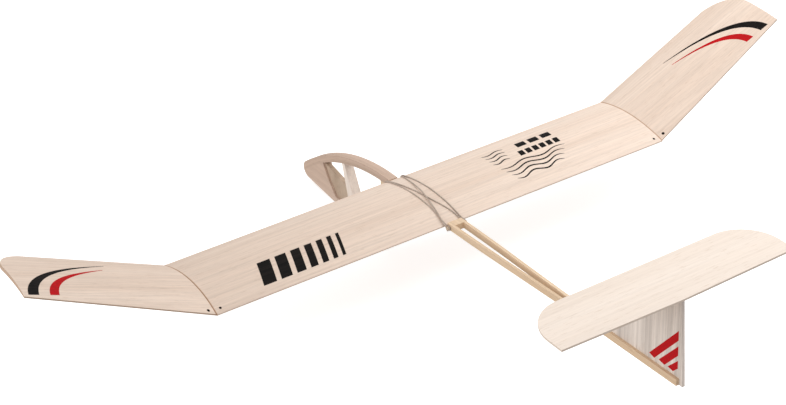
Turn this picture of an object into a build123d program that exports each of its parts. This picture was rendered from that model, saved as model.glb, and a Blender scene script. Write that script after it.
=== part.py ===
from build123d import *
from math import cos, radians, sin, sqrt, tan
import os

# Balsa hand glider: a bent sheet wing held by a rubber band on an open nose frame,
# two boom strips and a T tail. Millimetres. +Z is up, the nose points to -Y and the left
# wing to +X. The origin is below the middle of the glider, on the plane the keel stands on.
# Side profiles are drawn as (aft, up): aft of the wing's leading edge at rest, and above the
# flat plane of the wing's underside edges.

# ---------------------------------------------------------------- driving dimensions
NOSE_REACH = 169.2          # nose tip ahead of the leading edge
TAIL_REACH = 436.5          # rear foot of the fin behind the leading edge
SEAT_HEIGHT = 76.0          # wing's underside edges above the underside of the keel

CHORD = 100.0               # one standard sheet width
HALF_CENTRE = 262.5         # half the flat centre panel
DIHEDRAL = 24.3             # degrees, tip panel above centre panel
TIP_SPAN = 188.0            # tip panel, measured along the panel
TIP_LEAD = 3.6              # tip's leading edge runs this far forward
TIP_TE_AFT = 78.5           # trailing edge corner of the tip, aft of the leading edge
TIP_CORNER_SPAN = 46.0      # rounded front corner of a tip, along the span
TIP_CORNER_CHORD = 38.0     # the same corner, along the chord
SHEET = 3.0                 # wing sheet
CAMBER = 8.0                # rise of the underside at mid chord
TIP_CAMBER = 3.5            # the same at the wing tip
TE_EDGE = 1.4               # sanded trailing edge
LE_EDGE = 2.6               # height of the rounded leading edge
LE_ROUND = 0.9              # its depth along the chord
MITRE_SPARE = 8.0           # panel stock past the mitre, before it is cut
PEG_HOLE_R = 1.2            # holes beside each wing joint
PEG_HOLE_IN = 7.0           # from the joint
PEG_HOLE_UP = 5.5           # from the trailing edge
RIB_T = 3.0
RIB_INSET = 8.0             # rib ends inside the sheet's edges
RIB_SPACING = 86.0
RIBS_A_SIDE = 3

FRAME_WIDTH = 10.0          # nose frame and seat rail
ARCH_R = 258.0              # outer radius of the top longeron
ARCH_DEPTH = 7.5
CROWN_AFT = -7.0            # highest point of the arch
CROWN_UP = 1.3
NOSE_R = 9.5                # rounding of the nose tip
KEEL_DEPTH = 7.0
KEEL_FLAT_FRONT = -108.0    # front end of the keel's flat
KEEL_RISE = 32.0            # degrees, rear run of the keel
KEEL_KNEE = -20.8           # where the two runs of the keel would meet
KEEL_BEND_R = 80.0
BLOCK_BACK = ((-131.0, -34.0), (-118.7, -54.5), (-98.0, -77.0))   # arc of the block's rear face
GUSSET_TOP = ((-131.0, -38.0), (-70.0, -51.0))
GUSSET_WIDTH = 5.0
POST_FRONT = ((-93.2, -12.0), (-79.0, -69.0))     # front face of the tapered post
POST_REAR = ((-90.0, -12.0), (-64.0, -69.0))      # its rear face

SEAT_DROP = 0.2             # top of the seat below the wing
TRIM_TRAVEL = 2.0           # the wing slides this far each way on its seat
TRIM_CLEAR = 0.5            # left at each end of the travel
RAIL_FRONT = -18.5
RAIL_HEEL_END = 5.0         # rear end of the deep front part, around the dowel
RAIL_HEEL = 14.0
RAIL_DEPTH = 8.0
RAIL_TAPER = (86.0, 98.0)   # the rail's underside rises to the strips' underside here
RAIL_REAR = 111.0

STRIP_T = 3.0               # boom strip, across
STRIP_H = 6.8               # boom strip, upright
STRIP_FRONT = 20.0
STRIP_END = 432.0
STRIP_TOP = 5.1             # top of the strips at the trailing edge
STRIP_SLOPE = 1.27          # degrees, rising aft
STRIP_MEET = 332.0          # where the strips close on the fin

FIN_T = 3.0
FIN_ROOT_FRONT = 322.0
FIN_TOP_FRONT = 376.0
FIN_TOP_REAR = 431.0
TAIL_T = 2.0                # tailplane sheet
TAIL_UP = 91.0              # underside of the tailplane
TAIL_HALF = 126.0
TAIL_FRONT = 371.0
TAIL_REAR = 432.0
TAIL_SWEEP = 3.0            # trailing edge corners ahead of its middle
TAIL_CORNER_R = 40.0

DOWEL_R = 1.5
DOWEL_HALF = 11.5
FRONT_DOWEL = (-6.0, -10.2)
REAR_DOWEL = (106.0, 1.0)
DOWEL_ROUND = 0.5

WEIGHT_R = 4.0              # steel slug in the nose block
WEIGHT_LENGTH = 28.0
WEIGHT_AT = (-138.0, -61.0)

BAND_R = 0.65               # half the thickness of the rubber band
BAND_CLEAR = 0.35           # from the wing's surface
WRAP_CLEAR = 0.2            # from the dowels
BAND_OUT = 10.0             # middle of the two strands on a dowel end
BAND_PITCH = 1.5            # from one strand to the other
BAND_CROSSING = 2.0         # one crossing strand above the other
BAND_BEND_R = 2.6           # over the wing's edges

# ---------------------------------------------------------------- frame and shared places
LE_Y = -(TAIL_REACH - NOSE_REACH) / 2
SIDE = Plane(origin=(0, LE_Y, SEAT_HEIGHT), x_dir=(0, 1, 0), z_dir=(1, 0, 0))
GROUND = Plane(origin=(0, LE_Y, 0), x_dir=(1, 0, 0), z_dir=(0, 0, 1))
ARCH_CENTRE = (CROWN_AFT, CROWN_UP - ARCH_R)
ARCH_INNER_R = ARCH_R - ARCH_DEPTH
KEEL_BOTTOM = -SEAT_HEIGHT
SEAT_FRONT = -(TRIM_TRAVEL + TRIM_CLEAR)
SEAT_REAR = CHORD + TRIM_TRAVEL + TRIM_CLEAR
BEYOND = 500.0              # longer than any cut needs


def save(piece, name):
    """Label a finished piece and write its STEP file."""
    piece.label = name
    export_step(piece, f"parts/{name}.step")


def strip_top(aft):
    """Top of the boom strips above the wing's underside edges."""
    return STRIP_TOP + (aft - CHORD) * tan(radians(STRIP_SLOPE))


def on_arch(radius, aft):
    """A point of the arch, or of a circle concentric with it, at a place along the glider."""
    return (aft, ARCH_CENTRE[1] + sqrt(radius**2 - (aft - ARCH_CENTRE[0]) ** 2))


# ---------------------------------------------------------------- nose frame outlines
TIP_CENTRE = on_arch(ARCH_R - NOSE_R, NOSE_R - NOSE_REACH)
tip_share = ARCH_R / (ARCH_R - NOSE_R)
TIP_TOP = tuple(a + (b - a) * tip_share for a, b in zip(ARCH_CENTRE, TIP_CENTRE))
TIP_FRONT = (-NOSE_REACH, TIP_CENTRE[1])
under_slope = (TIP_CENTRE[1] - NOSE_R - KEEL_BOTTOM) / (KEEL_FLAT_FRONT - TIP_CENTRE[0])
TIP_UNDER = (TIP_CENTRE[0] - NOSE_R * under_slope, TIP_CENTRE[1] - NOSE_R)
ARCH_MIDDLE = on_arch(ARCH_R, (TIP_TOP[0] + CROWN_AFT) / 2)

with BuildSketch() as front_outline:
    with BuildLine():
        ThreePointArc(TIP_TOP, ARCH_MIDDLE, (CROWN_AFT, CROWN_UP))
        Line((CROWN_AFT, CROWN_UP), (SEAT_FRONT, CROWN_UP))
        Line((SEAT_FRONT, CROWN_UP), (SEAT_FRONT, KEEL_BOTTOM))
        Line((SEAT_FRONT, KEEL_BOTTOM), (KEEL_FLAT_FRONT, KEEL_BOTTOM))
        Line((KEEL_FLAT_FRONT, KEEL_BOTTOM), TIP_UNDER)
        ThreePointArc(TIP_UNDER, TIP_FRONT, TIP_TOP)
    make_face()

with BuildSketch() as inside_arch:
    with Locations(ARCH_CENTRE):
        Circle(ARCH_INNER_R)
    with Locations((CROWN_AFT, CROWN_UP - ARCH_DEPTH)):
        Rectangle(BEYOND, BEYOND, align=(Align.MIN, Align.MAX))

block_top, block_middle, block_low = BLOCK_BACK
with BuildSketch() as block_side:
    with BuildLine():
        ThreePointArc(block_top, block_middle, block_low)
        Polyline(block_low, (-BEYOND, block_low[1]), (-BEYOND, 0), (block_top[0], 0), block_top)
    make_face()

with BuildSketch() as post_outline:
    with BuildLine():
        Polyline(POST_FRONT[0], POST_FRONT[1], POST_REAR[1], POST_REAR[0], close=True)
    make_face()


def keel_corners(offset):
    """Bend start, bend middle, bend end and rear end of the keel's underside, moved up by offset."""
    rise = radians(KEEL_RISE)
    knee = (KEEL_KNEE - offset * tan(rise / 2), KEEL_BOTTOM + offset)
    bend_r = KEEL_BEND_R - offset
    reach = bend_r * tan(rise / 2)
    start = (knee[0] - reach, knee[1])
    middle = (start[0] + bend_r * sin(rise / 2), start[1] + bend_r * (1 - cos(rise / 2)))
    end = (knee[0] + reach * cos(rise), knee[1] + reach * sin(rise))
    rear_up = -RAIL_DEPTH
    rear = (end[0] + (rear_up - end[1]) / tan(rise), rear_up)
    return start, middle, end, rear


# ---------------------------------------------------------------- nose frame
os.makedirs("parts", exist_ok=True)
WEIGHT_PLANE = Plane(origin=(0, LE_Y + WEIGHT_AT[0], SEAT_HEIGHT + WEIGHT_AT[1]),
                     x_dir=(1, 0, 0), z_dir=(0, 1, 0))

with BuildPart() as nose_block:
    with BuildSketch(SIDE):
        add(front_outline.sketch_local)
        add(inside_arch.sketch_local, mode=Mode.INTERSECT)
        add(block_side.sketch_local, mode=Mode.INTERSECT)
    extrude(amount=FRAME_WIDTH / 2, both=True)
    with BuildSketch(WEIGHT_PLANE):
        Circle(WEIGHT_R)
    extrude(amount=WEIGHT_LENGTH / 2, both=True, mode=Mode.SUBTRACT)
save(nose_block.part, "nose_block")

with BuildPart() as nose_weight:
    with BuildSketch(WEIGHT_PLANE):
        Circle(WEIGHT_R)
    extrude(amount=WEIGHT_LENGTH / 2, both=True)
    chamfer(nose_weight.edges().filter_by(GeomType.CIRCLE), length=WEIGHT_R / 5)
save(nose_weight.part, "nose_weight")

with BuildPart() as top_longeron:
    with BuildSketch(SIDE):
        add(front_outline.sketch_local)
        add(inside_arch.sketch_local, mode=Mode.SUBTRACT)
    extrude(amount=FRAME_WIDTH / 2, both=True)
save(top_longeron.part, "top_longeron")

with BuildPart() as window_post:
    with BuildSketch(SIDE):
        add(post_outline.sketch_local)
        add(inside_arch.sketch_local, mode=Mode.INTERSECT)
    extrude(amount=FRAME_WIDTH / 2, both=True)
save(window_post.part, "window_post")

with BuildPart() as nose_gusset:
    with BuildSketch(SIDE):
        with BuildLine():
            Polyline(GUSSET_TOP[0], GUSSET_TOP[1], (GUSSET_TOP[1][0], KEEL_BOTTOM + KEEL_DEPTH),
                     (GUSSET_TOP[0][0], KEEL_BOTTOM + KEEL_DEPTH), close=True)
        make_face()
        add(block_side.sketch_local, mode=Mode.SUBTRACT)
        add(post_outline.sketch_local, mode=Mode.SUBTRACT)
        with BuildLine():
            Polyline(POST_REAR[0], POST_REAR[1], (0, POST_REAR[1][1]), (0, 0), close=True)
        make_face(mode=Mode.SUBTRACT)
    extrude(amount=GUSSET_WIDTH / 2, both=True)
save(nose_gusset.part, "nose_gusset")

with BuildPart() as keel_strip:
    start, middle, end, rear = keel_corners(0)
    top_start, top_middle, top_end, top_rear = keel_corners(KEEL_DEPTH)
    with BuildSketch(SIDE):
        with BuildLine():
            Line((-BEYOND, KEEL_BOTTOM), start)
            ThreePointArc(start, middle, end)
            Polyline(end, rear, top_rear, top_end)
            ThreePointArc(top_end, top_middle, top_start)
            Polyline(top_start, (-BEYOND, top_start[1]), (-BEYOND, KEEL_BOTTOM))
        make_face()
        add(block_side.sketch_local, mode=Mode.SUBTRACT)
        with Locations((KEEL_FLAT_FRONT, 0)):
            Rectangle(BEYOND, BEYOND, align=(Align.MAX, Align.CENTER), mode=Mode.SUBTRACT)
    extrude(amount=FRAME_WIDTH / 2, both=True)
save(keel_strip.part, "keel_strip")


def dowel_plane(place):
    """Plane across a dowel that lies along X."""
    return Plane(origin=(0, LE_Y + place[0], SEAT_HEIGHT + place[1]), x_dir=(0, 1, 0), z_dir=(1, 0, 0))


with BuildPart() as seat_rail:
    with BuildSketch(SIDE):
        with BuildLine():
            Polyline((RAIL_FRONT, -RAIL_HEEL), (RAIL_HEEL_END, -RAIL_HEEL),
                     (RAIL_HEEL_END + RAIL_HEEL - RAIL_DEPTH, -RAIL_DEPTH), (RAIL_TAPER[0], -RAIL_DEPTH),
                     (RAIL_TAPER[1], strip_top(RAIL_TAPER[1]) - STRIP_H),
                     (RAIL_REAR, strip_top(RAIL_REAR) - STRIP_H),
                     (RAIL_REAR, strip_top(RAIL_REAR)), (SEAT_REAR, strip_top(SEAT_REAR)),
                     (SEAT_REAR, -SEAT_DROP), (RAIL_FRONT, -SEAT_DROP), close=True)
        make_face()
    extrude(amount=FRAME_WIDTH / 2, both=True)
    add(top_longeron.part, mode=Mode.SUBTRACT)
    for place in (FRONT_DOWEL, REAR_DOWEL):
        with BuildSketch(dowel_plane(place)):
            Circle(DOWEL_R)
        extrude(amount=DOWEL_HALF, both=True, mode=Mode.SUBTRACT)
save(seat_rail.part, "seat_rail")

# ---------------------------------------------------------------- boom strips, one each side
with BuildPart() as boom_strip_left:
    half_rail = FRAME_WIDTH / 2
    half_fin = FIN_T / 2
    with BuildSketch(GROUND):
        with BuildLine():
            Line((half_rail, STRIP_FRONT), (half_rail, RAIL_REAR))
            Spline((half_rail, RAIL_REAR), (half_fin, STRIP_MEET), tangents=((0, 1), (0, 1)))
            Polyline((half_fin, STRIP_MEET), (half_fin, STRIP_END), (half_fin + STRIP_T, STRIP_END),
                     (half_fin + STRIP_T, STRIP_MEET))
            Spline((half_fin + STRIP_T, STRIP_MEET), (half_rail + STRIP_T, RAIL_REAR),
                   tangents=((0, -1), (0, -1)))
            Polyline((half_rail + STRIP_T, RAIL_REAR), (half_rail + STRIP_T, STRIP_FRONT),
                     (half_rail, STRIP_FRONT))
        make_face()
    extrude(amount=SEAT_HEIGHT + TAIL_UP)
    with BuildSketch(SIDE):
        with BuildLine():
            Polyline((0, strip_top(0)), (BEYOND, strip_top(BEYOND)),
                     (BEYOND, strip_top(BEYOND) - STRIP_H), (0, strip_top(0) - STRIP_H), close=True)
        make_face()
        with Locations((SEAT_REAR, -SEAT_DROP)):
            Rectangle(BEYOND, STRIP_H, align=(Align.MAX, Align.MIN), mode=Mode.SUBTRACT)
    extrude(amount=FRAME_WIDTH, mode=Mode.INTERSECT)
    with BuildSketch(dowel_plane(REAR_DOWEL)):
        Circle(DOWEL_R)
    extrude(amount=DOWEL_HALF, mode=Mode.SUBTRACT)
save(boom_strip_left.part, "boom_strip_left")

with BuildPart() as boom_strip_right:
    add(boom_strip_left.part.mirror(Plane.YZ))
save(boom_strip_right.part, "boom_strip_right")

# ---------------------------------------------------------------- tail
with BuildPart() as tail_fin:
    with BuildSketch(SIDE):
        with BuildLine():
            Polyline((FIN_ROOT_FRONT, strip_top(FIN_ROOT_FRONT) - STRIP_H),
                     (FIN_ROOT_FRONT, strip_top(FIN_ROOT_FRONT)),
                     (FIN_TOP_FRONT, TAIL_UP), (FIN_TOP_REAR, TAIL_UP),
                     (TAIL_REACH, strip_top(TAIL_REACH) - STRIP_H), close=True)
        make_face()
    extrude(amount=FIN_T / 2, both=True)
save(tail_fin.part, "tail_fin")

with BuildPart() as tailplane:
    with BuildSketch(GROUND.offset(SEAT_HEIGHT + TAIL_UP)) as tail_plan:
        with BuildLine():
            Polyline((-TAIL_HALF, TAIL_REAR - TAIL_SWEEP), (-TAIL_HALF, TAIL_FRONT),
                     (TAIL_HALF, TAIL_FRONT), (TAIL_HALF, TAIL_REAR - TAIL_SWEEP),
                     (0, TAIL_REAR), close=True)
        make_face()
        fillet(tail_plan.vertices().group_by(Axis.Y)[0], radius=TAIL_CORNER_R)
    extrude(amount=TAIL_T)
save(tailplane.part, "tailplane")

# ---------------------------------------------------------------- dowels
for dowel_name, place in (("front_dowel", FRONT_DOWEL), ("rear_dowel", REAR_DOWEL)):
    with BuildPart() as dowel:
        with BuildSketch(dowel_plane(place)):
            Circle(DOWEL_R)
        extrude(amount=DOWEL_HALF, both=True)
        fillet(dowel.edges().filter_by(GeomType.CIRCLE), radius=DOWEL_ROUND)
    save(dowel.part, dowel_name)

# ---------------------------------------------------------------- wing
dihedral = radians(DIHEDRAL)
JOINT = (HALF_CENTRE, LE_Y, SEAT_HEIGHT)
MITRE = Plane(origin=JOINT, x_dir=(0, 1, 0), z_dir=(cos(dihedral / 2), 0, sin(dihedral / 2)))
ALONG_TIP = (cos(dihedral), 0, sin(dihedral))
TIP_PLAN = Plane(origin=JOINT, x_dir=ALONG_TIP, z_dir=(-sin(dihedral), 0, cos(dihedral)))


def section_line(front, rear, rise):
    """Closed outline of the bent sheet: flat edges, both faces rising by the same amount."""
    middle = (front + rear) / 2
    with BuildLine() as outline:
        ThreePointArc((front + LE_ROUND, 0), (middle, rise), (rear, 0))
        Line((rear, 0), (rear, TE_EDGE))
        ThreePointArc((rear, TE_EDGE), (middle, rise + SHEET), (front + LE_ROUND, LE_EDGE))
        ThreePointArc((front + LE_ROUND, LE_EDGE), (front, LE_EDGE / 2), (front + LE_ROUND, 0))
    return outline.edges()


def tip_section_plane(along):
    """Plane across a tip panel, at a distance from the joint."""
    origin = Vector(*JOINT) + Vector(*ALONG_TIP) * along
    return Plane(origin=origin, x_dir=(0, 1, 0), z_dir=ALONG_TIP)


def peg_hole(plane, along):
    """Outline of a hole near the trailing edge."""
    with BuildSketch(plane) as hole:
        with Locations((along, CHORD - PEG_HOLE_UP)):
            Circle(PEG_HOLE_R)
    return hole.sketch


with BuildPart() as wing_centre_panel:
    with BuildSketch(SIDE):
        make_face(section_line(0, CHORD, CAMBER))
    extrude(amount=HALF_CENTRE + MITRE_SPARE)
    split(bisect_by=MITRE, keep=Keep.BOTTOM)
    hole = peg_hole(GROUND.offset(SEAT_HEIGHT), HALF_CENTRE - PEG_HOLE_IN)
    extrude(hole, amount=CHORD, both=True, mode=Mode.SUBTRACT)
    mirror(about=Plane.YZ)
save(wing_centre_panel.part, "wing_centre_panel")

with BuildPart() as wing_tip_left:
    with BuildSketch(tip_section_plane(-MITRE_SPARE)):
        make_face(section_line(0, CHORD, CAMBER))
    with BuildSketch(tip_section_plane(TIP_SPAN)):
        make_face(section_line(-TIP_LEAD, TIP_TE_AFT, TIP_CAMBER))
    loft()
    with BuildSketch(TIP_PLAN):
        corner_centre = (TIP_SPAN - TIP_CORNER_SPAN, TIP_CORNER_CHORD - TIP_LEAD)
        with BuildLine():
            EllipticalCenterArc(corner_centre, TIP_CORNER_SPAN, TIP_CORNER_CHORD,
                                start_angle=270, arc_size=90)
            Polyline((TIP_SPAN, corner_centre[1]), (TIP_SPAN, BEYOND), (-BEYOND, BEYOND),
                     (-BEYOND, -TIP_LEAD), (corner_centre[0], -TIP_LEAD))
        make_face()
    extrude(amount=CHORD, both=True, mode=Mode.INTERSECT)
    split(bisect_by=MITRE, keep=Keep.TOP)
    extrude(peg_hole(TIP_PLAN, PEG_HOLE_IN), amount=CHORD, both=True, mode=Mode.SUBTRACT)
save(wing_tip_left.part, "wing_tip_left")

with BuildPart() as wing_tip_right:
    add(wing_tip_left.part.mirror(Plane.YZ))
save(wing_tip_right.part, "wing_tip_right")

rib_places = [("rib_centre", 0.0)]
for step in range(1, RIBS_A_SIDE + 1):
    rib_places.append((f"rib_left_{step}", step * RIB_SPACING))
    rib_places.append((f"rib_right_{step}", -step * RIB_SPACING))

for rib_name, place in rib_places:
    with BuildPart() as rib:
        with BuildSketch(SIDE.offset(place)):
            with BuildLine():
                ThreePointArc((LE_ROUND, 0), (CHORD / 2, CAMBER), (CHORD, 0))
                Line((CHORD, 0), (LE_ROUND, 0))
            make_face()
            with Locations((CHORD / 2, 0)):
                Rectangle(CHORD - 2 * RIB_INSET, BEYOND, mode=Mode.INTERSECT)
        extrude(amount=RIB_T / 2, both=True)
    save(rib.part, rib_name)

# ---------------------------------------------------------------- rubber band
strand_up = BAND_R + BAND_CLEAR
BAND_CREST = CAMBER + SHEET + strand_up
BAND_FRONT_BEND = (-strand_up - TRIM_CLEAR, LE_EDGE + strand_up)
BAND_REAR_BEND = (CHORD + strand_up, TE_EDGE + strand_up)
WRAP_R = DOWEL_R + BAND_R + WRAP_CLEAR


def toward(start, end):
    """Unit direction from one (aft, up) point to another."""
    return Vector(end[0] - start[0], end[1] - start[1]).normalized()


def leave_point(dowel, bend, side):
    """Where a strand bound for a bend leaves its dowel, on one side (+1 or -1) of the pull."""
    pull = toward(dowel, bend)
    return (dowel[0] - side * pull.Y * WRAP_R, dowel[1] + side * pull.X * WRAP_R)


def top_tangent(centre, radius):
    """Ends of the straight run from an arc over the wing to the top of the rear dowel."""
    apart = Vector(REAR_DOWEL[0] - centre.X, REAR_DOWEL[1] - centre.Y)
    share = (radius - WRAP_R) / apart.length
    along = apart.normalized()
    normal = along * share + Vector(-along.Y, along.X) * sqrt(1 - share**2)
    lift_off = (centre.X + normal.X * radius, centre.Y + normal.Y * radius)
    landing = (REAR_DOWEL[0] + normal.X * WRAP_R, REAR_DOWEL[1] + normal.Y * WRAP_R)
    return lift_off, landing


BAND_CREST_POINT = (CHORD / 2, BAND_CREST)
crest_arc = ThreePointArc(BAND_FRONT_BEND, BAND_CREST_POINT, BAND_REAR_BEND)
LIFT_OFF, LANDING = top_tangent(crest_arc.arc_center, crest_arc.radius)


def tube_along(path):
    """The rubber around a finished centre line."""
    with BuildPart() as tube:
        with BuildSketch(Plane(origin=path @ 0, z_dir=path % 0)):
            Circle(BAND_R)
        sweep(path=path)
    return tube.part


def side_strand(x):
    """A strand from the front of the front dowel over the wing to the top of the rear dowel."""
    with BuildLine(SIDE.offset(x)) as path:
        Line(leave_point(FRONT_DOWEL, BAND_FRONT_BEND, 1), BAND_FRONT_BEND)
        ThreePointArc(BAND_FRONT_BEND, BAND_CREST_POINT, LIFT_OFF)
        Line(LIFT_OFF, LANDING)
        fillet(path.vertices().sort_by(Axis.Y)[1], radius=BAND_BEND_R)
    return tube_along(path.line)


def crossing_strand(x_front, x_rear, lift):
    """A strand from the back of the front dowel to the rear dowel's lower front, on the other side."""
    first = leave_point(FRONT_DOWEL, BAND_FRONT_BEND, -1)
    last = leave_point(REAR_DOWEL, BAND_REAR_BEND, 1)
    run = Vector(x_rear - x_front, last[0] - first[0], 0)
    stretch = run.length / (last[0] - first[0])
    plane = Plane(origin=(x_front, LE_Y + first[0], SEAT_HEIGHT), x_dir=run,
                  z_dir=run.cross(Vector(0, 0, 1)))

    def place(point):
        return ((point[0] - first[0]) * stretch, point[1])

    with BuildLine(plane) as path:
        Line(place(first), place(BAND_FRONT_BEND))
        ThreePointArc(place(BAND_FRONT_BEND), place((CHORD / 2, BAND_CREST + lift)),
                      place(BAND_REAR_BEND))
        Line(place(BAND_REAR_BEND), place(last))
        fillet(path.vertices().sort_by(Axis.Y)[1:3], radius=BAND_BEND_R)
    return tube_along(path.line)


def wrap(dowel, bend, one, other, x_side, x_across):
    """The half turn around one dowel end that joins the side strand to the crossing strand."""
    pull = toward(dowel, bend)
    back = (dowel[0] - pull.X * WRAP_R, dowel[1] - pull.Y * WRAP_R)
    points = [Vector(x, LE_Y + aft, SEAT_HEIGHT + up)
              for x, (aft, up) in ((x_side, one), ((x_side + x_across) / 2, back), (x_across, other))]
    with BuildLine() as path:
        ThreePointArc(*points)
    return tube_along(path.line)


outer = BAND_OUT + BAND_PITCH / 2
inner = BAND_OUT - BAND_PITCH / 2
with BuildPart() as rubber_band:
    for hand in (1, -1):
        add(side_strand(hand * outer))
        add(crossing_strand(hand * inner, -hand * inner, BAND_CROSSING * (1 + hand) / 2))
        add(wrap(FRONT_DOWEL, BAND_FRONT_BEND, leave_point(FRONT_DOWEL, BAND_FRONT_BEND, 1),
                 leave_point(FRONT_DOWEL, BAND_FRONT_BEND, -1), hand * outer, hand * inner))
        add(wrap(REAR_DOWEL, BAND_REAR_BEND, LANDING,
                 leave_point(REAR_DOWEL, BAND_REAR_BEND, 1), hand * outer, hand * inner))
save(rubber_band.part, "rubber_band")
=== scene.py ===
import bpy, bmesh, math
from mathutils import Matrix, Vector
from mathutils.bvhtree import BVHTree


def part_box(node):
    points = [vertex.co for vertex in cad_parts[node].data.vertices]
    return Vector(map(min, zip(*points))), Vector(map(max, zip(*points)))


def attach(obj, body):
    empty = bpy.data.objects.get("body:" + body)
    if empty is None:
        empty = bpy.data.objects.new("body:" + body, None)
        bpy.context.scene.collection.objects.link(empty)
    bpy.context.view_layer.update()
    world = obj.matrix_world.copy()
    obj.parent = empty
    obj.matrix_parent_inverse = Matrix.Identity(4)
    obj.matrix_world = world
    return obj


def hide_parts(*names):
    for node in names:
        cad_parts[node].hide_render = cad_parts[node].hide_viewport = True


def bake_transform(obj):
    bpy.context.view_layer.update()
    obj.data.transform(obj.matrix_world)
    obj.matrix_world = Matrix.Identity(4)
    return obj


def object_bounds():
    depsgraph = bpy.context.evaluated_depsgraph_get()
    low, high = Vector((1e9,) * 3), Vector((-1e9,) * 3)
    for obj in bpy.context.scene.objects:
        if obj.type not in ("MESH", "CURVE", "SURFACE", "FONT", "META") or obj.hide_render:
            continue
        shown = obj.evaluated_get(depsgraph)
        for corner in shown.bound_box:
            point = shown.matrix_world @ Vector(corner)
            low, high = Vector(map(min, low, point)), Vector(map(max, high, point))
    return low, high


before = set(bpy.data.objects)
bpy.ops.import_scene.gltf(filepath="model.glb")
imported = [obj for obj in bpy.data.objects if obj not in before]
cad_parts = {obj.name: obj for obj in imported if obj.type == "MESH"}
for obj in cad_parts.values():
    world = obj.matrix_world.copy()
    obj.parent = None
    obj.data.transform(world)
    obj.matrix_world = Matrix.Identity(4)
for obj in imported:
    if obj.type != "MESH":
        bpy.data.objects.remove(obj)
cad_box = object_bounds()

# ---------------------------------------------------------------- places, read from the frame
MM = 0.001
wing_low, wing_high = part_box("wing_centre_panel")
LE_Y = wing_low[1]                        # wing's leading edge
SEAT_Z = wing_low[2]                      # wing's flat underside edges
CHORD = wing_high[1] - wing_low[1]
HALF_CENTRE = wing_high[0]
DIHEDRAL = math.radians(24.3)
fin_low, fin_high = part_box("tail_fin")
arch_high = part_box("top_longeron")[1]

UP = Vector((0.0, 0.0, 1.0))
RAY_HEIGHT = 0.05                         # a dropped point starts this far above the wing's seat

# ---------------------------------------------------------------- tones that are multiplied onto the wood
WHITE = (1.0, 1.0, 1.0)
PAINTED_HOLE_SHADE = (0.035, 0.025, 0.02)              # painted shade on the wall and rim of a small hole
GLUE = (0.62, 0.47, 0.36)                 # seam at a wing joint
PAINTED_EDGE_SHADE = (0.62, 0.55, 0.49)            # painted shade on a cut edge
FAINT_EDGE_SHADE = (0.84, 0.81, 0.79)            # fainter painted shade on a cut edge
PAINTED_LIGHT_RIGHT = (1.07, 1.08, 1.09)          # painted light: centre panel lighter towards the right wing
PAINTED_SHADE_LEFT = (0.93, 0.925, 0.92)          # painted shade: centre panel darker towards the left wing
HOLE_SHADE = 4.0 * MM                     # distance from a hole's middle that the dark tone's ramp covers
SEAM_SHADE = 2.0 * MM                     # distance from a mitre that the glue tone's ramp covers
GRAIN_RADIUS = 0.25                       # bent grain: metres along it for each radian


# ---------------------------------------------------------------- small node helpers
def new_material(name):
    """An empty node material with its principled shader."""
    material = bpy.data.materials.new(name)
    material.use_nodes = True
    shader = material.node_tree.nodes["Principled BSDF"]
    return material, material.node_tree, shader


def node(tree, kind, **settings):
    """Adds a node and sets its plain properties."""
    made = tree.nodes.new(kind)
    for key, value in settings.items():
        setattr(made, key, value)
    return made


def link(tree, source, target):
    tree.links.new(source, target)


def ramp(tree, source, stops):
    """A colour ramp on a value; stops are (position, colour)."""
    made = node(tree, "ShaderNodeValToRGB")
    elements = made.color_ramp.elements
    while len(elements) < len(stops):
        elements.new(0.5)
    for element, (position, colour) in zip(elements, stops):
        element.position = position
        element.color = (*colour, 1.0)
    link(tree, source, made.inputs["Fac"])
    return made.outputs["Color"]


def multiply(tree, first, second):
    """Colour times colour."""
    made = node(tree, "ShaderNodeMix", data_type="RGBA", blend_type="MULTIPLY")
    made.inputs["Factor"].default_value = 1.0
    link(tree, first, made.inputs["A"])
    link(tree, second, made.inputs["B"])
    return made.outputs["Result"]


def paint_hole_shade(tree, colour, place):
    """The colour with painted shade, near black, on the wall and rim of a small hole."""
    coordinates = node(tree, "ShaderNodeTexCoord").outputs["Object"]
    distance = node(tree, "ShaderNodeVectorMath", operation="DISTANCE")
    distance.inputs[1].default_value = place
    link(tree, coordinates, distance.inputs[0])
    scaled = node(tree, "ShaderNodeMath", operation="DIVIDE")
    scaled.inputs[1].default_value = HOLE_SHADE
    link(tree, distance.outputs["Value"], scaled.inputs[0])
    tone = ramp(tree, scaled.outputs["Value"], [(0.38, PAINTED_HOLE_SHADE), (0.47, WHITE)])
    return multiply(tree, colour, tone)


def glued_seam(tree, colour):
    """The colour with a thin brown glue line along the mitre between centre panel and tip panel."""
    parts = node(tree, "ShaderNodeSeparateXYZ")
    link(tree, node(tree, "ShaderNodeTexCoord").outputs["Object"], parts.inputs["Vector"])
    sideways = node(tree, "ShaderNodeMath", operation="ABSOLUTE")
    link(tree, parts.outputs["X"], sideways.inputs[0])
    lean = DIHEDRAL / 2
    across = node(tree, "ShaderNodeMath", operation="MULTIPLY_ADD")
    across.inputs[1].default_value = math.cos(lean)
    across.inputs[2].default_value = -HALF_CENTRE * math.cos(lean) - SEAT_Z * math.sin(lean)
    link(tree, sideways.outputs["Value"], across.inputs[0])
    total = node(tree, "ShaderNodeMath", operation="MULTIPLY_ADD")
    total.inputs[1].default_value = math.sin(lean)
    link(tree, parts.outputs["Z"], total.inputs[0])
    link(tree, across.outputs["Value"], total.inputs[2])
    distance = node(tree, "ShaderNodeMath", operation="ABSOLUTE")
    link(tree, total.outputs["Value"], distance.inputs[0])
    scaled = node(tree, "ShaderNodeMath", operation="DIVIDE")
    scaled.inputs[1].default_value = SEAM_SHADE
    link(tree, distance.outputs["Value"], scaled.inputs[0])
    return multiply(tree, colour, ramp(tree, scaled.outputs["Value"], [(0.2, GLUE), (0.42, WHITE)]))


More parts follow.
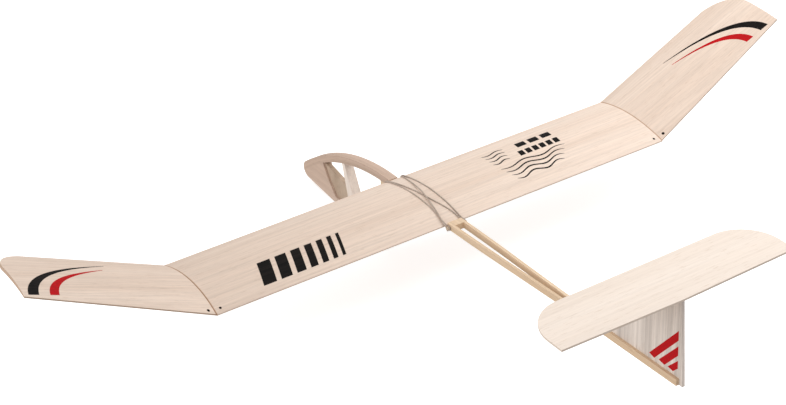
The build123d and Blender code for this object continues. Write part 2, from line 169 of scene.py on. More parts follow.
def paint_light_falloff(tree, colour, half_span):
    """The colour with painted light and painted shade: a little darker towards the left wing and a little
    lighter towards the right one.
    """
    parts = node(tree, "ShaderNodeSeparateXYZ")
    link(tree, node(tree, "ShaderNodeTexCoord").outputs["Object"], parts.inputs["Vector"])
    share = node(tree, "ShaderNodeMapRange")
    share.inputs["From Min"].default_value = -half_span
    share.inputs["From Max"].default_value = half_span
    link(tree, parts.outputs["X"], share.inputs["Value"])
    stops = [(0.0, PAINTED_LIGHT_RIGHT), (0.45, WHITE), (0.9, PAINTED_SHADE_LEFT)]
    return multiply(tree, colour, ramp(tree, share.outputs["Result"], stops))


def shade_cut_edges(tree, colour, face, tone):
    """The colour with painted shade on the cut edges, where the surface turns away from the sheet's face
    direction.
    """
    towards = node(tree, "ShaderNodeVectorMath", operation="DOT_PRODUCT")
    towards.inputs[1].default_value = face
    link(tree, node(tree, "ShaderNodeNewGeometry").outputs["True Normal"], towards.inputs[0])
    size = node(tree, "ShaderNodeMath", operation="ABSOLUTE")
    link(tree, towards.outputs["Value"], size.inputs[0])
    return multiply(tree, colour, ramp(tree, size.outputs["Value"], [(0.35, tone), (0.7, WHITE)]))


def stretched_noise(tree, vector, scale, detail, seed, roughness=0.55):
    """Noise squeezed along X: scale is (along the grain, across it), in cells a metre."""
    mapping = node(tree, "ShaderNodeMapping")
    mapping.inputs["Scale"].default_value = (scale[0], scale[1], scale[1])
    mapping.inputs["Location"].default_value = (seed, seed * 1.7, seed * 0.6)
    link(tree, vector, mapping.inputs["Vector"])
    noise = node(tree, "ShaderNodeTexNoise")
    noise.inputs["Scale"].default_value = 1.0
    noise.inputs["Detail"].default_value = detail
    noise.inputs["Roughness"].default_value = roughness
    link(tree, mapping.outputs["Vector"], noise.inputs["Vector"])
    return noise.outputs["Fac"]


def grain_vector(tree, turn=(0.0, 0.0, 0.0), arc=None):
    """Object coordinates with X along the grain. arc is (y, z) of the centre that the grain bends round."""
    coordinates = node(tree, "ShaderNodeTexCoord").outputs["Object"]
    if arc is None:
        rotate = node(tree, "ShaderNodeVectorRotate", rotation_type="EULER_XYZ")
        rotate.inputs["Rotation"].default_value = turn
        link(tree, coordinates, rotate.inputs["Vector"])
        return rotate.outputs["Vector"]
    shift = node(tree, "ShaderNodeVectorMath", operation="SUBTRACT")
    shift.inputs[1].default_value = (0.0, arc[0], arc[1])
    link(tree, coordinates, shift.inputs[0])
    parts = node(tree, "ShaderNodeSeparateXYZ")
    link(tree, shift.outputs["Vector"], parts.inputs["Vector"])
    flat = node(tree, "ShaderNodeCombineXYZ")
    link(tree, parts.outputs["Y"], flat.inputs["X"])
    link(tree, parts.outputs["Z"], flat.inputs["Y"])
    radius = node(tree, "ShaderNodeVectorMath", operation="LENGTH")
    link(tree, flat.outputs["Vector"], radius.inputs[0])
    angle = node(tree, "ShaderNodeMath", operation="ARCTAN2")
    link(tree, parts.outputs["Y"], angle.inputs[0])
    link(tree, parts.outputs["Z"], angle.inputs[1])
    along = node(tree, "ShaderNodeMath", operation="MULTIPLY")
    along.inputs[1].default_value = GRAIN_RADIUS
    link(tree, angle.outputs["Value"], along.inputs[0])
    bent = node(tree, "ShaderNodeCombineXYZ")
    link(tree, along.outputs["Value"], bent.inputs["X"])
    link(tree, radius.outputs["Value"], bent.inputs["Y"])
    link(tree, parts.outputs["X"], bent.inputs["Z"])
    return bent.outputs["Vector"]


PORE_DEPTH = 0.12                         # how much an open pore darkens the wood
WOOD_ROUGHNESS = 0.66


def wood(name, pale, dark, turn=(0.0, 0.0, 0.0), arc=None, seed=0.0, band=55.0, streak=420.0,
         contrast=1.0, holes=(), face=None, edge=PAINTED_EDGE_SHADE, light_falloff_span=0.0):
    """Sanded bare wood: broad figure, streaks, fine fibres and short open pores along the grain.
    holes are holes beside a glued wing joint, with painted shade on their wall and rim; face is the
    direction a sheet faces, and its cut edges that turn away from it get painted shade of the given edge
    tone;
    the last argument is the half span over which painted light and painted shade change the tone."""
    material, tree, shader = new_material(name)
    vector = grain_vector(tree, turn, arc)
    figure = stretched_noise(tree, vector, (1.6, band), detail=5.0, seed=seed)
    streaks = stretched_noise(tree, vector, (7.0, streak), detail=7.0, roughness=0.6, seed=seed + 3.0)
    fibres = stretched_noise(tree, vector, (30.0, streak * 4.0), detail=3.0, roughness=0.7, seed=seed + 5.0)
    flecks = stretched_noise(tree, vector, (85.0, streak * 2.6), detail=2.0, roughness=0.5, seed=seed + 9.0)
    low = 0.5 - 0.17 / contrast
    high = 0.5 + 0.17 / contrast
    colour = ramp(tree, figure, [(low, dark), (high, pale)])
    fine = 1.0 - 0.11 * contrast
    colour = multiply(tree, colour, ramp(tree, streaks, [(0.36, (fine, fine, fine)), (0.6, WHITE)]))
    hair = 1.0 - 0.05 * contrast
    colour = multiply(tree, colour, ramp(tree, fibres, [(0.4, (hair, hair, hair)), (0.58, WHITE)]))
    pit = (1.0 - PORE_DEPTH, 1.0 - 1.25 * PORE_DEPTH, 1.0 - 1.5 * PORE_DEPTH)
    colour = multiply(tree, colour, ramp(tree, flecks, [(0.3, pit), (0.39, WHITE)]))
    # painted shade on each hole's wall and rim
    for hole in holes:
        colour = paint_hole_shade(tree, colour, hole)
    if holes:
        colour = glued_seam(tree, colour)
    # painted light and painted shade across the centre panel's span
    if light_falloff_span:
        colour = paint_light_falloff(tree, colour, light_falloff_span)
    # painted shade on the cut edges
    if face:
        colour = shade_cut_edges(tree, colour, face, edge)
    link(tree, colour, shader.inputs["Base Color"])
    rough = node(tree, "ShaderNodeMapRange")
    rough.inputs["To Min"].default_value = WOOD_ROUGHNESS - 0.08
    rough.inputs["To Max"].default_value = WOOD_ROUGHNESS + 0.1
    link(tree, streaks, rough.inputs["Value"])
    link(tree, rough.outputs["Result"], shader.inputs["Roughness"])
    relief = node(tree, "ShaderNodeMath", operation="MULTIPLY_ADD")
    relief.inputs[1].default_value = 0.6
    link(tree, streaks, relief.inputs[0])
    link(tree, flecks, relief.inputs[2])
    bump = node(tree, "ShaderNodeBump")
    bump.inputs["Strength"].default_value = 0.35
    bump.inputs["Distance"].default_value = 0.12 * MM
    link(tree, relief.outputs["Value"], bump.inputs["Height"])
    link(tree, bump.outputs["Normal"], shader.inputs["Normal"])
    shader.inputs["Specular IOR Level"].default_value = 0.14
    return material


def ink(name, colour, worn, turn=(0.0, 0.0, 0.0)):
    """Matt ink that is worn a little along the grain."""
    material, tree, shader = new_material(name)
    vector = grain_vector(tree, turn)
    streaks = stretched_noise(tree, vector, (9.0, 500.0), detail=6.0, seed=21.0)
    specks = stretched_noise(tree, vector, (160.0, 900.0), detail=3.0, seed=31.0)
    tone = ramp(tree, streaks, [(0.35, worn), (0.62, colour)])
    tone = multiply(tree, tone, ramp(tree, specks, [(0.3, (1.35, 1.3, 1.25)), (0.42, WHITE)]))
    link(tree, tone, shader.inputs["Base Color"])
    shader.inputs["Roughness"].default_value = 0.6
    shader.inputs["Specular IOR Level"].default_value = 0.08
    bump = node(tree, "ShaderNodeBump")
    bump.inputs["Strength"].default_value = 0.25
    bump.inputs["Distance"].default_value = 0.08 * MM
    link(tree, streaks, bump.inputs["Height"])
    link(tree, bump.outputs["Normal"], shader.inputs["Normal"])
    return material


RUBBER_BROWN = (0.36, 0.28, 0.225)
RUBBER_DUSTY = (0.56, 0.46, 0.39)
STEEL_DARK = (0.42, 0.42, 0.43)
STEEL_PALE = (0.6, 0.6, 0.61)


def rubber(name):
    """Old brown rubber with a mottled film of dust."""
    material, tree, shader = new_material(name)
    coordinates = node(tree, "ShaderNodeTexCoord").outputs["Object"]
    dust = node(tree, "ShaderNodeTexNoise")
    dust.inputs["Scale"].default_value = 900.0
    dust.inputs["Detail"].default_value = 5.0
    link(tree, coordinates, dust.inputs["Vector"])
    tone = ramp(tree, dust.outputs["Fac"], [(0.35, RUBBER_BROWN), (0.7, RUBBER_DUSTY)])
    link(tree, tone, shader.inputs["Base Color"])
    shader.inputs["Roughness"].default_value = 0.6
    shader.inputs["Specular IOR Level"].default_value = 0.25
    bump = node(tree, "ShaderNodeBump")
    bump.inputs["Strength"].default_value = 0.3
    bump.inputs["Distance"].default_value = 0.05 * MM
    link(tree, dust.outputs["Fac"], bump.inputs["Height"])
    link(tree, bump.outputs["Normal"], shader.inputs["Normal"])
    return material


def steel(name):
    """Bare steel with fine streaks across the object's Y axis."""
    material, tree, shader = new_material(name)
    vector = grain_vector(tree, (0.0, 0.0, math.pi / 2))
    rings = stretched_noise(tree, vector, (900.0, 30.0), detail=4.0, seed=2.0)
    tone = ramp(tree, rings, [(0.3, STEEL_DARK), (0.7, STEEL_PALE)])
    link(tree, tone, shader.inputs["Base Color"])
    shader.inputs["Metallic"].default_value = 1.0
    shader.inputs["Roughness"].default_value = 0.35
    return material


# ---------------------------------------------------------------- materials on the CAD nodes
ALONG_Y = (0.0, 0.0, math.pi / 2)
ALONG_Z = (0.0, math.pi / 2, 0.0)
GUSSET_GRAIN = (math.pi / 2, 0.0, 1.3)    # lies in the panel, slanted
ARCH_AHEAD = 7.0 * MM                     # centre of the arch's curve, ahead of the leading edge
ARCH_RADIUS = 258.0 * MM
ARCH_CENTRE = (LE_Y - ARCH_AHEAD, arch_high[2] - ARCH_RADIUS)

BALSA_PALE = (0.85, 0.70, 0.585)
BALSA_DARK = (0.775, 0.615, 0.50)
TAIL_PALE = (0.90, 0.795, 0.70)
TAIL_DARK = (0.84, 0.72, 0.615)
FIN_PALE = (0.85, 0.75, 0.67)
FIN_DARK = (0.64, 0.56, 0.50)
NOSE_PALE = (0.71, 0.535, 0.43)
NOSE_DARK = (0.57, 0.415, 0.32)
GUSSET_PALE = (0.58, 0.445, 0.335)
GUSSET_DARK = (0.46, 0.34, 0.245)
POST_PALE = (0.93, 0.81, 0.71)
POST_DARK = (0.82, 0.69, 0.59)
PINE_PALE = (0.86, 0.675, 0.485)
PINE_DARK = (0.72, 0.525, 0.35)
BIRCH_PALE = (0.70, 0.56, 0.42)
BIRCH_DARK = (0.58, 0.44, 0.31)

HOLE_IN = 7.0 * MM                       # from the wing joint
HOLE_AFT = 94.5 * MM                     # from the leading edge
HOLE_MID = 2.2 * MM                      # middle of the sheet there, above the underside's edges


def centre_hole(side):
    """Middle of the hole beside a joint, on the centre panel."""
    return (side * (HALF_CENTRE - HOLE_IN), LE_Y + HOLE_AFT, SEAT_Z + HOLE_MID)


def tip_point(side, along, aft, up):
    """A point of a tip panel: along it from its joint, aft of the leading edge, up from its underside."""
    x = HALF_CENTRE + along * math.cos(DIHEDRAL) - up * math.sin(DIHEDRAL)
    return (side * x, LE_Y + aft, SEAT_Z + along * math.sin(DIHEDRAL) + up * math.cos(DIHEDRAL))


def tip_hole(side):
    """Middle of the hole beside a joint, on a tip panel."""
    return tip_point(side, HOLE_IN, HOLE_AFT, HOLE_MID)


def tip_normal(side):
    """Upward direction across a tip panel."""
    return (-side * math.sin(DIHEDRAL), 0.0, math.cos(DIHEDRAL))


# the centre panel gets painted light and shade along its span, the tips and tailplane painted shade on their
# cut edges, and the joint panels painted shade in their holes
finishes = {
    "wing_centre_panel": wood("balsa_wing_centre", BALSA_PALE, BALSA_DARK,
                              holes=[centre_hole(1), centre_hole(-1)], light_falloff_span=HALF_CENTRE),
    "wing_tip_left": wood("balsa_tip_left", BALSA_PALE, BALSA_DARK, turn=(0.0, DIHEDRAL, 0.0), seed=11.0,
                          holes=[tip_hole(1)], face=tip_normal(1)),
    "wing_tip_right": wood("balsa_tip_right", BALSA_PALE, BALSA_DARK, turn=(0.0, -DIHEDRAL, 0.0), seed=17.0,
                           holes=[tip_hole(-1)], face=tip_normal(-1), edge=FAINT_EDGE_SHADE),
    "tailplane": wood("balsa_tailplane", TAIL_PALE, TAIL_DARK, seed=23.0, contrast=0.6, face=(0.0, 0.0, 1.0),
                      edge=FAINT_EDGE_SHADE),
    "tail_fin": wood("balsa_fin", FIN_PALE, FIN_DARK, turn=ALONG_Z, seed=5.0, band=110.0, contrast=1.6),
    "nose_block": wood("pine_block", NOSE_PALE, NOSE_DARK, turn=ALONG_Y, seed=2.0, streak=260.0),
    "nose_gusset": wood("pine_gusset", GUSSET_PALE, GUSSET_DARK, turn=GUSSET_GRAIN, seed=7.0),
    "window_post": wood("pine_post", POST_PALE, POST_DARK, turn=ALONG_Z, seed=8.0),
    "top_longeron": wood("pine_longeron", NOSE_PALE, NOSE_DARK, arc=ARCH_CENTRE, seed=4.0),
    "keel_strip": wood("pine_keel", NOSE_PALE, NOSE_DARK, turn=ALONG_Y, seed=6.0),
    "seat_rail": wood("pine_rail", PINE_PALE, PINE_DARK, turn=ALONG_Y, seed=9.0),
    "boom_strip_left": wood("pine_strip_left", PINE_PALE, PINE_DARK, turn=ALONG_Y, seed=12.0),
    "boom_strip_right": wood("pine_strip_right", PINE_PALE, PINE_DARK, turn=ALONG_Y, seed=14.0),
    "front_dowel": wood("birch_front_dowel", BIRCH_PALE, BIRCH_DARK, seed=15.0),
    "rear_dowel": wood("birch_rear_dowel", BIRCH_PALE, BIRCH_DARK, seed=16.0),
    "nose_weight": steel("steel_rod"),
}
rib_wood = wood("balsa_rib", BALSA_PALE, BALSA_DARK, turn=ALONG_Y, seed=19.0)
for name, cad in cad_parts.items():
    cad.material_slots[0].material = finishes.get(name, rib_wood)

# the sanded edges of blocks, sticks and tail sheets
SANDED = 0.3 * MM
for name in ("nose_block", "nose_gusset", "window_post", "top_longeron", "keel_strip", "seat_rail",
             "boom_strip_left", "boom_strip_right", "tail_fin", "tailplane"):
    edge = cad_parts[name].modifiers.new("sanded_edges", "BEVEL")
    edge.width = SANDED
    edge.segments = 2
    edge.limit_method = "ANGLE"
    edge.angle_limit = math.radians(40.0)
    edge.use_clamp_overlap = True

# ---------------------------------------------------------------- printed marks, laid on the wood
INK_LIFT = 0.06 * MM                     # top of the ink above the wood
INK_SUNK = 0.05 * MM                     # its underside, below the wood
black_ink = ink("ink_black", (0.004, 0.0035, 0.003), (0.012, 0.009, 0.008))
red_ink = ink("ink_red", (0.52, 0.004, 0.008), (0.40, 0.008, 0.01))
shapes = {name: BVHTree.FromObject(cad, bpy.context.evaluated_depsgraph_get())
          for name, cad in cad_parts.items() if name.startswith("wing")}


def centre_place(side):
    """Plan of the centre panel: span from the middle towards one side, aft from the leading edge."""
    return Vector((0.0, LE_Y, SEAT_Z)), Vector((side, 0.0, 0.0)), UP


def tip_place(side):
    """Plan of a tip panel: span from its joint, aft from the leading edge."""
    along = Vector((side * math.cos(DIHEDRAL), 0.0, math.sin(DIHEDRAL)))
    return Vector((side * HALF_CENTRE, LE_Y, SEAT_Z)), along, Vector(tip_normal(side))


def laid(panel, place, u, v, lift):
    """A point in a panel's plan, in millimetres, dropped onto the panel's upper face and lifted off it."""
    origin, along, normal = place
    start = origin + along * (u * MM) + Vector((0.0, v * MM, 0.0)) + normal * RAY_HEIGHT
    hit = shapes[panel].ray_cast(start, -normal)[0]
    return hit + normal * lift


def curved(*points):
    """An edge that is a cubic curve with four control points."""
    a, b, c, d = (Vector(p) for p in points)

    def at(t):
        s = 1.0 - t
        return a * s**3 + b * (3 * s * s * t) + c * (3 * s * t * t) + d * t**3
    return at


def straight(first, last):
    """An edge that is a straight line."""
    return lambda t: Vector(first).lerp(Vector(last), t)


def wave(first, last, height, turns, half_width):
    """The two edges of a wavy line that is pointed at both ends."""
    def edge(side):
        def at(t):
            swell = math.sin(2 * math.pi * turns * t) * height
            half = side * half_width * math.sin(math.pi * t) ** 0.4
            return Vector(first).lerp(Vector(last), t) + Vector((0.0, swell + half))
        return at
    return edge(1), edge(-1)


def printed(name, edges, drop, material, body, steps=48, across=8):
    """A thin film of ink between two edges, its points dropped onto the wood by drop(u, v, lift)."""
    mesh = bpy.data.meshes.new(name)
    shape = bmesh.new()
    top = []
    base = []
    for i in range(steps + 1):
        a, b = edges[0](i / steps), edges[1](i / steps)
        places = [a.lerp(b, j / across) for j in range(across + 1)]
        top.append([shape.verts.new(drop(*place, INK_LIFT)) for place in places])
        base.append([shape.verts.new(drop(*place, -INK_SUNK)) for place in places])
    for i in range(steps):
        for j in range(across):
            shape.faces.new((top[i][j], top[i + 1][j], top[i + 1][j + 1], top[i][j + 1]))
            shape.faces.new((base[i][j], base[i][j + 1], base[i + 1][j + 1], base[i + 1][j]))
        for j in (0, across):
            shape.faces.new((top[i][j], top[i + 1][j], base[i + 1][j], base[i][j]))
    for i in (0, steps):
        for j in range(across):
            shape.faces.new((top[i][j], top[i][j + 1], base[i][j + 1], base[i][j]))
    bmesh.ops.remove_doubles(shape, verts=shape.verts, dist=0.01 * MM)
    bmesh.ops.recalc_face_normals(shape, faces=shape.faces)
    shape.to_mesh(mesh)
    shape.free()
    mesh.materials.append(material)
    film = bpy.data.objects.new(name, mesh)
    bpy.context.collection.objects.link(film)
    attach(film, body)


def swoosh(outer, inner, shift, stretch):
    """Two edges of a swoosh, shifted outwards, with its point shifted by stretch and forward."""
    def placed(points):
        moved = [(u + shift, v) for u, v in points[:3]]
        u, v = points[3]
        return curved(*moved, (u + shift + stretch, v - 0.45 * shift))
    return placed(outer), placed(inner)


# control points of the swoosh edges, in millimetres of a tip panel's plan
BLACK_OUTER = ((177, 76), (172, 50), (135, 31), (74, 23.6))
BLACK_INNER = ((166.5, 76), (161, 50), (127, 33.5), (74, 24.2))
RED_OUTER = ((155.6, 76), (151, 53), (122, 41.5), (77, 34.4))
RED_INNER = ((146.3, 76), (142, 54.5), (115, 43), (77, 35))
for side, hand, shift in ((1, "left", 6.0), (-1, "right", 0.0)):
    def on_tip(u, v, lift, side=side, hand=hand):
        return laid(f"wing_tip_{hand}", tip_place(side), u, v, lift)

    printed(f"swoosh_black_{hand}", swoosh(BLACK_OUTER, BLACK_INNER, shift, 0.0), on_tip, black_ink, "wing")
    printed(f"swoosh_red_{hand}", swoosh(RED_OUTER, RED_INNER, shift, 0.7 * shift), on_tip, red_ink, "wing")


def on_left(u, v, lift):
    return laid("wing_centre_panel", centre_place(1), u, v, lift)


def on_right(u, v, lift):
    return laid("wing_centre_panel", centre_place(-1), u, v, lift)


def slanted_bars(name, drop, first, widths, gap, front, rear, lean):
    """A row of slanted bars, from the first bar's outer foot towards the middle of the wing."""
    foot = first
    for i, width in enumerate(widths):
        edges = (straight((foot, rear), (foot - lean, front)),
                 straight((foot - width, rear), (foot - width - lean, front)))
        printed(f"{name}_{i + 1}", edges, drop, black_ink, "wing", steps=30, across=6)
        foot -= width + gap


# a row of narrowing bars on the left half; dashes over wavy lines on the right half
slanted_bars("speed_bar", on_left, first=206, widths=(14, 12, 10, 8, 6.5, 5, 3.5), gap=5.2,
             front=61, rear=90, lean=9.5)
slanted_bars("dash_front", on_right, first=170, widths=(11.5,) * 3, gap=4.2, front=26, rear=35, lean=-1.5)
slanted_bars("dash_rear", on_right, first=169, widths=(6.2,) * 6, gap=2.5, front=42, rear=51, lean=-1.5)
for i in range(4):
    line = wave((87 + 2 * i, 60 + 6.5 * i), (169 - 5 * i, 58 + 6.5 * i),
                height=2.2, turns=2.0, half_width=0.95)
    printed(f"wave_long_{i + 1}", line, on_right, black_ink, "wing", steps=100, across=2)
for i in range(4):
    line = wave((86, 28 + 7 * i), (113 - 2 * i, 28 + 7 * i), height=1.8, turns=1.0, half_width=0.9)
    printed(f"wave_short_{i + 1}", line, on_right, black_ink, "wing", steps=50, across=2)

# three red stripes on both faces of the fin, as (aft, up) in millimetres from the leading edge and seat
FIN_STRIPES = (
    ((392.8, 17.0), (399.6, 15.2), (429.3, 50.0), (429.0, 59.8)),
    ((405.4, 17.0), (412.8, 15.4), (429.6, 34.6), (429.4, 44.2)),
    ((417.0, 16.4), (424.0, 15.4), (429.9, 21.4), (429.7, 29.4)),
)
for side, hand in ((1, "left"), (-1, "right")):
    def on_fin(aft, up, lift, side=side):
        x = fin_high[0] if side > 0 else fin_low[0]
        return Vector((x + side * lift, LE_Y + aft * MM, SEAT_Z + up * MM))

    for i, (a, b, c, d) in enumerate(FIN_STRIPES):
        printed(f"fin_stripe_{i + 1}_{hand}", (straight(a, d), straight(b, c)), on_fin, red_ink, "fuselage",
                steps=20, across=4)

# near-black pegs, cut off short inside the four holes beside the wing joints; their black is painted shade
# that makes each hole read as a dark dot
PEG_R = 1.15 * MM
PEG_SIDES = 32
PEG_PROFILE = ((1.0, -0.5), (1.0, 0.2), (0.92, 0.32), (0.5, 0.36))   # share of the radius, level in mm
peg_shade_paint = ink("peg_painted_shade", (0.012, 0.01, 0.009), (0.02, 0.016, 0.014))


def peg(name, place, normal):
    """A short round peg with a rounded rim, standing along normal."""
    shape = bmesh.new()
    rings = []
    for share, level in PEG_PROFILE:
        radius = PEG_R * share
        ring = []
        for step in range(PEG_SIDES):
            turn = 2 * math.pi * step / PEG_SIDES
            ring.append(shape.verts.new((radius * math.cos(turn), radius * math.sin(turn), level * MM)))
        rings.append(ring)
    for lower, upper in zip(rings, rings[1:]):
        for step in range(PEG_SIDES):
            after = (step + 1) % PEG_SIDES
            shape.faces.new((lower[step], lower[after], upper[after], upper[step]))
    shape.faces.new(rings[-1])
    shape.faces.new(list(reversed(rings[0])))
    mesh = bpy.data.meshes.new(name)
    shape.to_mesh(mesh)
    shape.free()
    mesh.materials.append(peg_shade_paint)
    turned = UP.rotation_difference(normal).to_matrix().to_4x4()
    mesh.transform(Matrix.Translation(place) @ turned)
    made = bpy.data.objects.new(name, mesh)
    bpy.context.collection.objects.link(made)
    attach(made, "wing")


for side, hand in ((1, "left"), (-1, "right")):
    peg(f"peg_centre_{hand}", Vector(centre_hole(side)), UP)
    peg(f"peg_tip_{hand}", Vector(tip_hole(side)), Vector(tip_normal(side)))

# ---------------------------------------------------------------- rubber band
BAND_R = 0.62 * MM
BAND_LIFT = 0.1 * MM
front_low, front_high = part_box("front_dowel")
rear_low, rear_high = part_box("rear_dowel")
FRONT_DOWEL = Vector((0.0, (front_low[1] + front_high[1]) / 2, (front_low[2] + front_high[2]) / 2))
REAR_DOWEL = Vector((0.0, (rear_low[1] + rear_high[1]) / 2, (rear_low[2] + rear_high[2]) / 2))
DOWEL_R = (front_high[2] - front_low[2]) / 2
WRAP_R = DOWEL_R + BAND_R
brown_rubber = rubber("rubber_brown")


def over_wing(x, aft, lift):
    """A point of the centre line of a strand that lies on the wing's upper face."""
    start = Vector((x, LE_Y + aft * MM, SEAT_Z + RAY_HEIGHT))
    hit, normal = shapes["wing_centre_panel"].ray_cast(start, -UP)[:2]
    return hit + normal * (BAND_R + BAND_LIFT + lift)


def strand_tube(name, points):
    """A round strand along a smooth curve between two bodies, made into a fixed mesh."""
    curve = bpy.data.curves.new(name, "CURVE")
    curve.dimensions = "3D"
    curve.bevel_depth = BAND_R
    curve.bevel_resolution = 5
    curve.resolution_u = 8
    curve.use_fill_caps = True
    spline = curve.splines.new("NURBS")
    spline.points.add(len(points) - 1)
    for target, point in zip(spline.points, points):
        target.co = (*point, 1.0)
    spline.use_endpoint_u = True
    spline.order_u = 3
    drawn = bpy.data.objects.new(name + "_line", curve)
    bpy.context.collection.objects.link(drawn)
    mesh = bpy.data.meshes.new_from_object(drawn.evaluated_get(bpy.context.evaluated_depsgraph_get()))
    bpy.data.objects.remove(drawn)
    mesh.name = name
    mesh.materials.clear()
    mesh.materials.append(brown_rubber)
    for face in mesh.polygons:
        face.use_smooth = True
    tube = bpy.data.objects.new(name, mesh)
    bpy.context.collection.objects.link(tube)
    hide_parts("rubber_band")
    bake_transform(tube)


def around(dowel, angle, x):
    """A point on the wrap round a dowel; angle 0 points aft and 90 up."""
    turn = math.radians(angle)
    return Vector((x, dowel.y + WRAP_R * math.cos(turn), dowel.z + WRAP_R * math.sin(turn)))


# each strand's way over the wing, as (aft of the leading edge, side to side) in millimetres
STRANDS = {
    "side_left": ((2, 10.6), (14, 10.3), (32, 9.9), (50, 9.5), (66, 8.9), (80, 8.4), (91, 8.5), (98, 8.8)),
    "side_right": ((2, -9.6), (14, -9.0), (32, -8.8), (50, -9.2), (66, -9.5), (80, -10.2), (91, -10.6),
                   (98, -10.7)),
    "cross_up": ((2, -7.6), (14, -4.9), (32, -1.6), (50, 1.6), (66, 4.2), (80, 7.0), (91, 9.2), (98, 10.2)),
    "cross_down": ((2, 9.2), (14, 8.6), (32, 6.8), (50, 3.8), (66, 0.6), (80, -4.6), (91, -7.8), (98, -8.8)),
}
LIFTS = {"cross_up": (0, 0, 0.5, 1.5, 0.8, 1.0, 1.4, 0.8)}     # millimetres above the others, at each place
ENDS = {                      # x on the front dowel, x on the rear dowel, front and rear wrap side
    "side_left": (10.6, 9.2, 1, 1),
    "side_right": (-10.6, -10.6, 1, 1),
    "cross_up": (-9.2, 10.6, -1, -1),
    "cross_down": (9.2, -9.2, -1, -1),
}
for name, stations in STRANDS.items():
    lifts = LIFTS.get(name, (0,) * len(stations))
    top = [over_wing(x * MM, aft, lift * MM) for (aft, x), lift in zip(stations, lifts)]
    x_front, x_rear, front_side, rear_side = ENDS[name]
    nose_y = LE_Y - BAND_R - BAND_LIFT
    front_x = x_front * MM
    rear_x = x_rear * MM
    if front_side > 0:
        wrap_front = [around(FRONT_DOWEL, a, front_x) for a in (250, 200, 160)]
    else:
        wrap_front = [around(FRONT_DOWEL, a, front_x) for a in (290, 335, 10)]
    before = [Vector((front_x * 0.5 + top[0].x * 0.5, nose_y - 0.7 * MM, SEAT_Z - 1.5 * MM)),
              Vector((front_x * 0.3 + top[0].x * 0.7, nose_y - 0.2 * MM, SEAT_Z + 3.0 * MM))]
    after = [Vector((rear_x * 0.5 + top[-1].x * 0.5, LE_Y + CHORD + 2.6 * MM, SEAT_Z + 2.9 * MM))]
    if rear_side > 0:
        wrap_rear = [around(REAR_DOWEL, a, rear_x) for a in (60, 10, 320, 290)]
    else:
        wrap_rear = [around(REAR_DOWEL, a, rear_x) for a in (215, 255, 290)]
    # the two pieces overlap a little at the fourth place; the front piece follows the wing in full only
    # from 6 mm behind the leading edge, and the rear one up to 4 mm ahead of the trailing edge
    front_points = wrap_front + before + top[:4] + [top[3].lerp(top[4], 0.02)]
    rear_points = [top[3].lerp(top[2], 0.02)] + top[3:] + after + wrap_rear
    strand_tube(f"band_{name}_front", front_points)
    strand_tube(f"band_{name}_rear", rear_points)

# ---------------------------------------------------------------- studio
FLOOR_HALF = 12.0
FLOOR_GAP = 0.02 * MM
FLOOR_GLOW = 0.56
floor_mesh = bpy.data.meshes.new("floor")
floor_shape = bmesh.new()
bmesh.ops.create_grid(floor_shape, x_segments=2, y_segments=2, size=FLOOR_HALF)
floor_shape.to_mesh(floor_mesh)
floor_shape.free()
floor = bpy.data.objects.new("floor", floor_mesh)
floor.location.z = cad_box[0][2] - FLOOR_GAP
bpy.context.collection.objects.link(floor)
floor_material, _, floor_shader = new_material("floor_pale")
floor_shader.inputs["Base Color"].default_value = (0.8, 0.8, 0.8, 1.0)
floor_shader.inputs["Roughness"].default_value = 0.9
floor_shader.inputs["Specular IOR Level"].default_value = 0.0
floor_shader.inputs["Emission Color"].default_value = (1.0, 1.0, 1.0, 1.0)
floor_shader.inputs["Emission Strength"].default_value = FLOOR_GLOW
floor_mesh.materials.append(floor_material)
floor.visible_diffuse = False
floor.visible_glossy = False

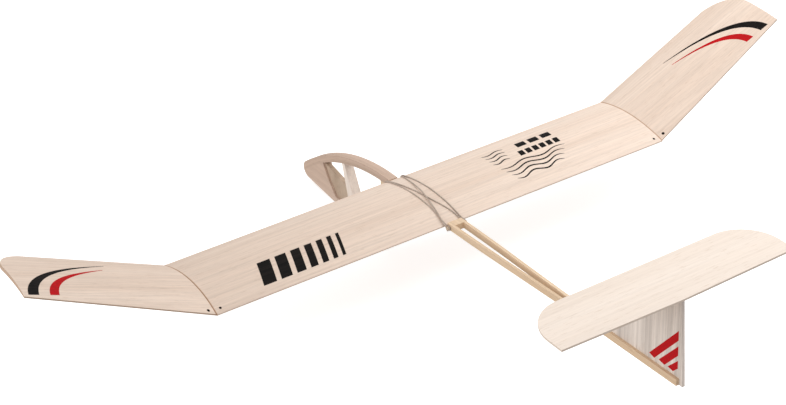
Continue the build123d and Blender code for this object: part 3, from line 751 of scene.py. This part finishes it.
# soft light from all round: brightest above and dimmest at the horizon
world = bpy.data.worlds.new("studio")
world.use_nodes = True
sky = world.node_tree
direction = node(sky, "ShaderNodeTexCoord").outputs["Generated"]
height = node(sky, "ShaderNodeSeparateXYZ")
link(sky, direction, height.inputs["Vector"])
share = node(sky, "ShaderNodeMapRange")
share.inputs["From Min"].default_value = -1.0
link(sky, height.outputs["Z"], share.inputs["Value"])
BELOW = (0.62, 0.60, 0.58)
HORIZON = (0.56, 0.56, 0.57)
ABOVE = (0.70, 0.70, 0.71)
glow = ramp(sky, share.outputs["Result"], [(0.2, BELOW), (0.5, HORIZON), (0.85, ABOVE)])
link(sky, glow, sky.nodes["Background"].inputs["Color"])
sky.nodes["Background"].inputs["Strength"].default_value = 1.0
bpy.context.scene.world = world


def softbox(name, place, target, size, power):
    """A large square area light that faces its target."""
    data = bpy.data.lights.new(name, "AREA")
    data.shape = "SQUARE"
    data.size = size
    data.energy = power
    lamp = bpy.data.objects.new(name, data)
    lamp.location = place
    lamp.rotation_euler = (Vector(target) - Vector(place)).to_track_quat("-Z", "Y").to_euler()
    bpy.context.collection.objects.link(lamp)


softbox("key", place=(-0.95, 0.15, 1.35), target=(-0.1, 0.0, 0.1), size=1.1, power=13.5)
softbox("fill", place=(1.9, -0.1, 0.45), target=(0.0, 0.15, 0.1), size=1.4, power=18.0)
bpy.context.scene.view_settings.view_transform = "Standard"

# ---------------------------------------------------------------- camera
AZIMUTH = math.radians(146.95)
ELEVATION = math.radians(31.498)
ROLL = math.radians(-2.021)
DISTANCE = 2.0479
LENS = 96.49
SENSOR = 36.0
TARGET = Vector((0.0327, LE_Y + 0.0457, SEAT_Z + 0.0092))
back = Vector((math.sin(AZIMUTH) * math.cos(ELEVATION), -math.cos(AZIMUTH) * math.cos(ELEVATION),
               math.sin(ELEVATION)))
camera_data = bpy.data.cameras.new("camera")
camera_data.lens = LENS
camera_data.sensor_width = SENSOR
camera_data.clip_end = 60.0
camera = bpy.data.objects.new("camera", camera_data)
camera.location = TARGET + back * DISTANCE
bpy.context.collection.objects.link(camera)
right = UP.cross(back).normalized()
up = back.cross(right)
turned_right = right * math.cos(ROLL) + up * math.sin(ROLL)
turned_up = up * math.cos(ROLL) - right * math.sin(ROLL)
camera.rotation_mode = "QUATERNION"
camera.rotation_quaternion = Matrix((turned_right, turned_up, back)).transposed().to_quaternion()
bpy.context.scene.camera = camera
